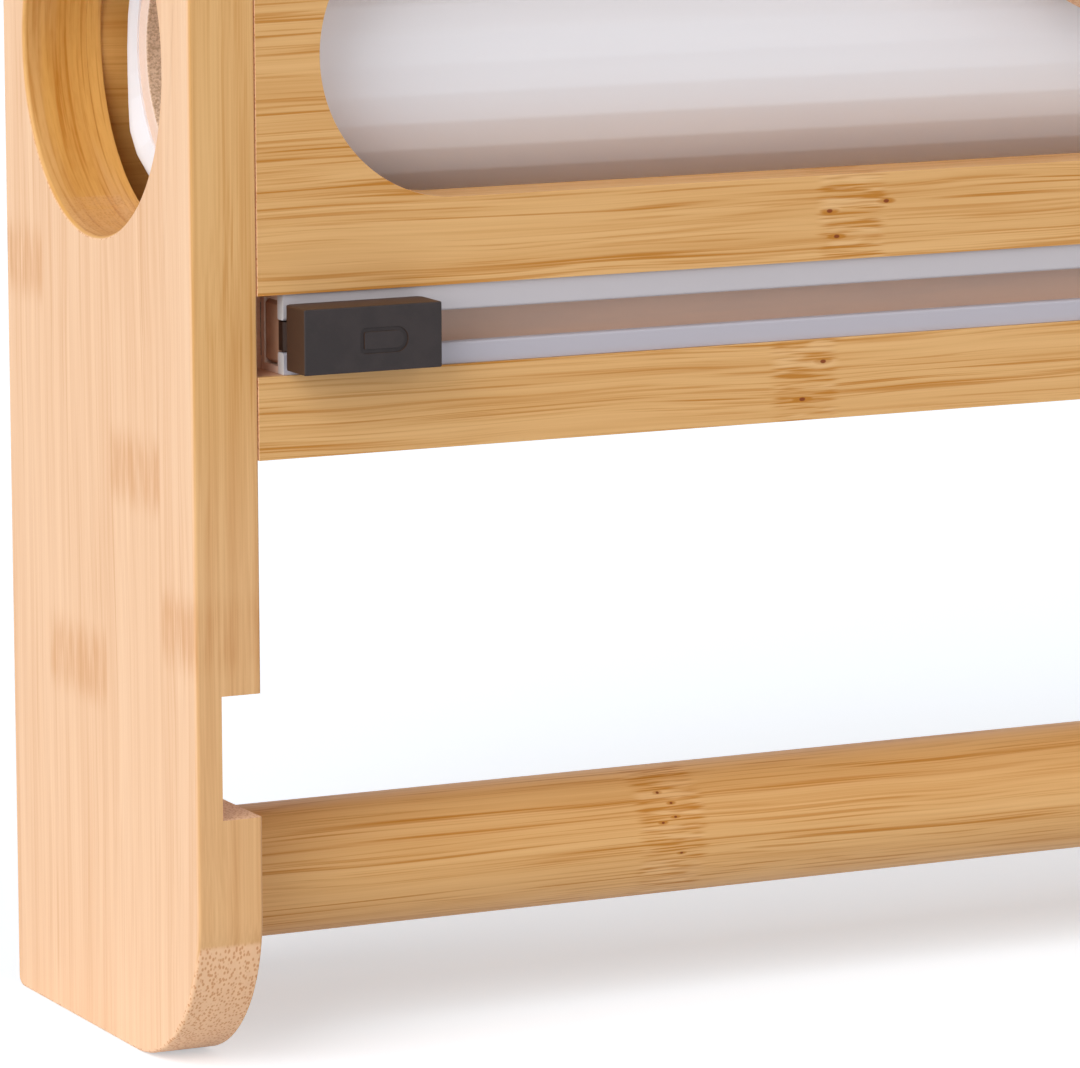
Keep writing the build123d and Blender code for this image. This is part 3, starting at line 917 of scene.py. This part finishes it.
class DISPENSER_OT_box(Operator):
    """The boards behind the front panel: back, floor and the two liners"""

    bl_idname = "dispenser.box"
    bl_label = "Back, floor and liners"

    def execute(self, context):
        sizes = settings().case
        self.back(sizes)
        self.floor(sizes)
        self.liners(sizes)
        return {"FINISHED"}

    def back(self, sizes):
        """The back panel with its two countersunk holes."""
        low, high = seamed("back_panel")
        panel = block("back_board", low, high)
        for x in (-sizes.screw_spacing / 2, sizes.screw_spacing / 2):
            centre = (x, 0, sizes.screw_height)
            bore = rod("bore", sizes.screw_radius, low[1] - MM, high[1] + MM, centre, 1, 32)
            bpy.ops.mesh.primitive_cone_add(
                vertices=48, radius1=sizes.screw_radius, radius2=sizes.screw_head_radius,
                depth=sizes.screw_sink, rotation=(radians(90), 0, 0),
                location=(x, low[1] + sizes.screw_sink / 2 - TOUCH, sizes.screw_height))
            cut(panel, bore, added("sink"))
        soften(panel, sizes.inner_round * 0.6)
        marks = [(-110, 128, 6, 10, ((2, 3), (-4, -4))), (-12, 149, 6, 10, ((3, -2),)),
                 (92, 169, 6, 10, ((-3, 4), (4, 1))), (-60, 190, 6, 10, ((1, -5), (-4, 3))),
                 (135, 118, 6, 10, ((4, 2),))]
        # Painted light: the back board takes the orange of light bounced inside the box, and weak
        # streaks keep it lighter than its shade leaves it.
        wood = board_bamboo("bamboo_back", (0, 2, 1), marks, (20.5, 118.0), 9.0, painted_bounce=0.7,
                            strong=0.4)
        finish_piece(panel, "cabinet", wood, "bamboo", "back_panel")

    def floor(self, sizes):
        """The board under the roll."""
        panel = block("floor_under_roll", *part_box("floor_board"))
        soften(panel, sizes.fine_round)
        marks = [(-90, 0, 6, 12, ((2, 3),)), (70, 20, 6, 12, ((-3, -4),))]
        # Painted light: the floor board takes some of the orange of light bounced inside the box.
        wood = board_bamboo("bamboo_floor", (0, 1, 2), marks, (24.0, 5.0), 13.0, painted_bounce=0.5)
        finish_piece(panel, "cabinet", wood, "bamboo", "floor_board")

    def liners(self, sizes):
        """The thin cheeks inside the side panels."""
        low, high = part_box("left_liner")
        liner = block("cheek_left", low, high)
        centre = (0, (low[1] + high[1]) / 2, sizes.hole_height)
        cut(liner, rod("hole", sizes.hole_radius, low[0] - MM, high[0] + MM, centre,
                       vertices=HOLE_SIDES))
        soften(liner, sizes.fine_round)
        other = mirror_copy(liner, "cheek_right")
        for piece, seed in ((liner, 17.0), (other, 19.0)):
            side = piece.name.split("_")[1]
            marks = [(120, 0, 6, 12, ()), (205, 20, 6, 12, ())]
            bore = (centre[1] / MM, centre[2] / MM, sizes.hole_radius / MM)
            wood = board_bamboo("bamboo_cheek_" + side, (2, 1, 0), marks, (22.0, 4.0), seed, bore)
            finish_piece(piece, "cabinet", wood, "bamboo", side + "_liner")


class DISPENSER_OT_lid(Operator):
    """The lid, half-round at the back, and its finger tab"""

    bl_idname = "dispenser.lid"
    bl_label = "Lid and tab"

    def execute(self, context):
        sizes = settings().case
        low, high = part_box("lid")
        thick = high[2] - low[2]
        lid = block("lid_board", low, high)
        with editing(lid):
            pick_edges_along(lid, 0, lambda m: near(m.y, high[1]))
            bevel_picked(thick * HALF_ROUND, 14)
        for side in (-1, 1):
            ends = sorted((side * high[0], side * (high[0] - sizes.pin_bore_depth)))
            centre = (0, high[1] - thick / 2, high[2] - thick / 2)
            cut(lid, rod("bore", sizes.pin_bore_radius, ends[0] - MM * (side < 0),
                         ends[1] + MM * (side > 0), centre, vertices=32))
        soften(lid, sizes.inner_round, 3)
        marks = [(-120, -22, 6, 11, ((3, 4), (-4, -2))), (-20, 26, 6, 11, ((2, -5),)),
                 (85, 2, 6, 11, ((-3, 3), (4, -4))), (140, -22, 6, 11, ((1, 2),))]
        wood = board_bamboo("bamboo_lid", (0, 1, 2), marks, (24.0, -10.0), 23.0)
        finish_piece(lid, "lid_board", wood, "bamboo", "lid")

        low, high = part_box("lid_tab")
        tab = block("finger_tab", low, high)
        with editing(tab):
            pick_edges_along(tab, 1, lambda m: near(m.z, low[2]))
            bevel_picked((high[0] - low[0]) * HALF_ROUND, 32)
            pick_edges_along(tab, 1, lambda m: near(m.z, high[2]))
            bevel_picked(sizes.tab_corner, 8)
            pick_faces(tab, lambda c: near(c.y, low[1]))
            bpy.ops.mesh.region_to_loop()
            bevel_picked(sizes.tab_round, 5)
        soften(tab, sizes.fine_round)
        marks = [(205, 4, 5, 9, ((2, 3),))]
        wood = board_bamboo("bamboo_tab", (2, 0, 1), marks, (18.0, -5.0), 29.0, strong=0.5)
        finish_piece(tab, "lid_board", wood, "bamboo", "lid_tab")
        return {"FINISHED"}


class DISPENSER_OT_cutter(Operator):
    """The black block that the thumb pushes along the rail"""

    bl_idname = "dispenser.cutter"
    bl_label = "Cutter block"

    def execute(self, context):
        sizes = settings().cutter
        low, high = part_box("cutter_block")
        middle = Vector(centre_of(low, high))
        piece = block("thumb_block", low, high)
        with editing(piece):
            pick_edges_along(piece, 2, lambda m: near(m.y, high[1]))
            bevel_picked(sizes.mouth, 1)
        soften(piece, sizes.edge, 3, 40)
        mark = middle + Vector((sizes.mark_shift, 0, -sizes.mark_drop))
        cut(piece, self.mark_groove(sizes, low[1], mark))
        soften(piece, sizes.edge * 0.4, 2, 60)
        cut(piece, rod("peg", sizes.peg_radius, high[1] - sizes.peg_depth, high[1] + MM, middle,
                       1, 32))
        finish_piece(piece, "cutter", block_finish(), "black_plastic", "cutter_block")
        return {"FINISHED"}

    def mark_groove(self, sizes, y_face, middle):
        """A shallow groove with the outline of the thumb mark, square at one end and round at
        the other."""
        outer = self.mark_plate(sizes, y_face, middle, 0.0, sizes.mark_depth)
        inner = self.mark_plate(sizes, y_face, middle, sizes.mark_rim, sizes.mark_depth * 3)
        cut(outer, inner)
        return outer

    @staticmethod
    def mark_plate(sizes, y_face, middle, inset, depth):
        """A plate with the outline of the thumb mark, set in all round."""
        half_w, half_h = sizes.mark_width / 2 - inset, sizes.mark_height / 2 - inset
        plate = block("mark", (middle.x - half_w, y_face - depth, middle.z - half_h),
                      (middle.x + half_w, y_face + depth, middle.z + half_h))
        corner = max(sizes.mark_corner - inset, 0.3 * MM)
        with editing(plate):
            pick_edges_along(plate, 1, lambda m: m.x > middle.x)
            bevel_picked(half_h * 0.999, 10)
            pick_edges_along(plate, 1, lambda m: near(m.x, middle.x - half_w))
            bevel_picked(corner, 5)
        return plate


class DISPENSER_OT_film(Operator):
    """The roll of film, lying in long flats, and its cardboard core"""

    bl_idname = "dispenser.film"
    bl_label = "Film roll"

    def execute(self, context):
        sizes = settings().film
        low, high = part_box("film_roll")
        centre = centre_of(low, high)
        radius = (high[2] - low[2]) / 2
        stand_in = sizes.slack + sizes.crown
        x0, x1 = low[0] + stand_in, high[0] - stand_in
        roll = rod("film_wound", radius, x0, x1, centre, vertices=sizes.flats)
        with editing(roll):
            pick_edges_along(roll, 0)
            bevel_picked(sizes.flat_round, 2)
            self.wind_ends(roll, sizes, x0, x1, radius)
        self.swell(roll, sizes, x0, x1, centre, radius)
        finish_piece(roll, "roll", film_finish(), "film", "film_roll", angle=60)

        core = rod("card_core", sizes.core_radius, low[0] + sizes.core_recess,
                   high[0] - sizes.core_recess, centre)
        cut(core, rod("bore", sizes.core_bore, low[0] - MM, high[0] + MM, centre))
        soften(core, sizes.core_edge, 3, 40)
        finish_piece(core, "roll", card_finish(), "core_card", "film_core")
        return {"FINISHED"}

    @staticmethod
    def wind_ends(roll, sizes, x0, x1, radius):
        """Insets each end in rings, so that the wound film rounds off at its outer edge, and
        opens the middle for the core."""
        rest = radius - sizes.core_radius - sizes.rim
        for end in (x0, x1):
            pick_faces(roll, lambda c: near(c.x, end))
            bpy.ops.mesh.inset(thickness=sizes.rim * 0.35, depth=sizes.crown * 0.65)
            bpy.ops.mesh.inset(thickness=sizes.rim * 0.65, depth=sizes.crown * 0.35)
            for share in (0.3, 0.4, 0.3):
                bpy.ops.mesh.inset(thickness=rest * share, depth=0)
            bpy.ops.mesh.delete(type="FACE")
        pick_edges(roll, lambda edge: edge.is_boundary)
        bpy.ops.mesh.bridge_edge_loops()

    @staticmethod
    def swell(roll, sizes, x0, x1, centre, radius):
        """Lets the wound film bulge out at its ends, low at the back, where it is slack."""
        for vertex in roll.data.vertices:
            side = -1 if vertex.co.x <= x0 + TOUCH else 1 if vertex.co.x >= x1 - TOUCH else 0
            turn = atan2(vertex.co.z - centre[2], vertex.co.y - centre[1]) - sizes.swell_at
            turn = (turn + pi) % (2 * pi) - pi
            far = exp(-((turn / sizes.swell_span) ** 2)) + 0.12 * sin(5 * turn)
            out = hypot(vertex.co.y - centre[1], vertex.co.z - centre[2])
            share = max((out - sizes.core_radius) / (radius - sizes.core_radius), 0)
            vertex.co.x += side * sizes.swell * max(far, 0) * min(share * 1.6, 1)


class DISPENSER_OT_bar(Operator):
    """The loose bar for kitchen paper"""

    bl_idname = "dispenser.bar"
    bl_label = "Paper bar"

    def execute(self, context):
        sizes = settings().case
        low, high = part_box("paper_bar")
        centre = centre_of(low, high)
        radius = (high[2] - low[2]) / 2
        shoulder = high[0] - sizes.slot_depth
        bar = rod("paper_rod", radius, -shoulder, shoulder, centre)
        tenon = sizes.slot_width / 2 - sizes.tenon_room
        with editing(bar):
            for end in (-shoulder, shoulder):
                pick_faces(bar, lambda c: near(c.x, end))
                bpy.ops.mesh.inset(thickness=radius - tenon, depth=0)
                bpy.ops.mesh.inset(thickness=0, depth=sizes.slot_depth)
        soften(bar, sizes.bar_end_round * 0.6, 3, 40)
        dots = ((-1.6, 8.4), (0.4, 6.6), (0.7, 4.3), (-1.9, 3.5), (1.6, -2.2))
        marks = [(-81, 29.5, 6, 12, dots), (104, 29.5, 6, 12, dots[1:4])]
        wood = board_bamboo("bamboo_bar", (0, 2, 1), marks, (40.0, 0.0), 31.0, dot_size=0.55)
        finish_piece(bar, "bar", wood, "bamboo", "paper_bar")
        return {"FINISHED"}


class DISPENSER_OT_small_parts(Operator):
    """Finishes for the rail, its tape, the shoe, the blade, the dowels and the lid pins"""

    bl_idname = "dispenser.small_parts"
    bl_label = "Rail and small parts"

    def execute(self, context):
        pins = board_bamboo("dowel_wood", (0, 1, 2), [], (60.0, 0.0), 37.0)
        finishes = {
            "cutter_rail": rail_finish(), "rail_tape": tape_finish(), "cutter_shoe": shoe_finish(),
            "cutter_blade": steel_finish(), "lid_pins": steel_finish(), "left_dowels": pins,
            "right_dowels": pins,
        }
        for name, material in finishes.items():
            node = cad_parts[name]
            if not node.material_slots:
                raise RuntimeError(name + " has no material slot")
            for material_slot in node.material_slots:
                material_slot.material = material
        return {"FINISHED"}


# ------------------------------------------------------------------ stage
class DISPENSER_OT_stage(Operator):
    """Floor, light and camera"""

    bl_idname = "dispenser.stage"
    bl_label = "Stage"

    def execute(self, context):
        choices = settings().stage
        self.floor(choices)
        self.lights(choices)
        self.world(choices)
        self.camera(choices)
        context.scene.view_settings.view_transform = "Standard"
        return {"FINISHED"}

    @staticmethod
    def floor(choices):
        """A plain white floor."""
        bpy.ops.mesh.primitive_plane_add(size=choices.floor_size, location=(0, 0, -FLOOR_DROP))
        floor = added("floor")
        floor.data.materials.append(floor_finish())

    @staticmethod
    def lights(choices):
        """Two broad soft lights: the key from the left, the fill from the front."""
        lamps = (("key", choices.key, (-0.80, -0.36, 0.48), 60),
                 ("fill", choices.fill, (0.1, -0.9, 0.5), 120))
        for name, strength, towards, spread in lamps:
            lamp = bpy.data.lights.new(name, "SUN")
            lamp.energy = strength
            lamp.angle = radians(spread)
            lamp.color = (1.0, 1.0, 1.0)
            carrier = bpy.data.objects.new(name, lamp)
            carrier.rotation_euler = Vector(towards).to_track_quat("Z", "Y").to_euler()
            bpy.context.collection.objects.link(carrier)

    @staticmethod
    def world(choices):
        """Soft light all round, and white behind the object."""
        world = bpy.data.worlds.new("studio")
        bpy.context.scene.world = world
        world.use_nodes = True
        sky = Shading(world.node_tree)
        strength = choices.ambient + sky.seen() * (1.0 - choices.ambient)
        background = sky.node("ShaderNodeBackground", {}, Color=(1.0, 1.0, 1.0, 1.0),
                              Strength=strength)
        output = sky.tree.nodes.new("ShaderNodeOutputWorld")
        sky.feed(output.inputs["Surface"], background)

    @staticmethod
    def camera(choices):
        """The camera, ahead and to the left, looking slightly down."""
        lens = bpy.data.cameras.new("camera")
        lens.lens = choices.lens
        lens.sensor_width = 36.0
        lens.clip_end = 50.0
        camera = bpy.data.objects.new("camera", lens)
        turn = Matrix.Rotation(-choices.azimuth, 4, "Z")
        tilt = Matrix.Rotation(radians(90) - choices.elevation, 4, "X")
        roll = Matrix.Rotation(choices.roll, 4, "Z")
        camera.matrix_world = Matrix.Translation(choices.place) @ turn @ tilt @ roll
        bpy.context.collection.objects.link(camera)
        bpy.context.scene.camera = camera


# ------------------------------------------------------------------ add-on
OPERATORS = (DISPENSER_OT_sides, DISPENSER_OT_front, DISPENSER_OT_box, DISPENSER_OT_lid,
             DISPENSER_OT_cutter, DISPENSER_OT_film, DISPENSER_OT_bar, DISPENSER_OT_small_parts,
             DISPENSER_OT_stage)


class DISPENSER_PT_sidebar(Panel):
    """The dispenser's operators and settings"""

    bl_label = "Cling film dispenser"
    bl_idname = "DISPENSER_PT_sidebar"
    bl_space_type = "VIEW_3D"
    bl_region_type = "UI"
    bl_category = "Dispenser"

    def draw(self, context):
        for operator in OPERATORS:
            self.layout.operator(operator.bl_idname)
        for name in GROUPS:
            box = self.layout.box()
            group = getattr(context.scene.dispenser, name)
            box.label(text=name.capitalize())
            for key in group.__annotations__:
                box.prop(group, key)


CLASSES = (*GROUPS.values(), DispenserSettings, *OPERATORS, DISPENSER_PT_sidebar)


def register():
    """Registers the classes and the settings."""
    for item in CLASSES:
        bpy.utils.register_class(item)
    bpy.types.Scene.dispenser = PointerProperty(type=DispenserSettings)


def unregister():
    """Takes everything away again."""
    del bpy.types.Scene.dispenser
    for item in reversed(CLASSES):
        bpy.utils.unregister_class(item)


def main():
    """Builds the dispenser and its stage."""
    register()
    for operator in OPERATORS:
        group, name = operator.bl_idname.split(".")
        getattr(getattr(bpy.ops, group), name)()


if __name__ == "__main__":
    main()
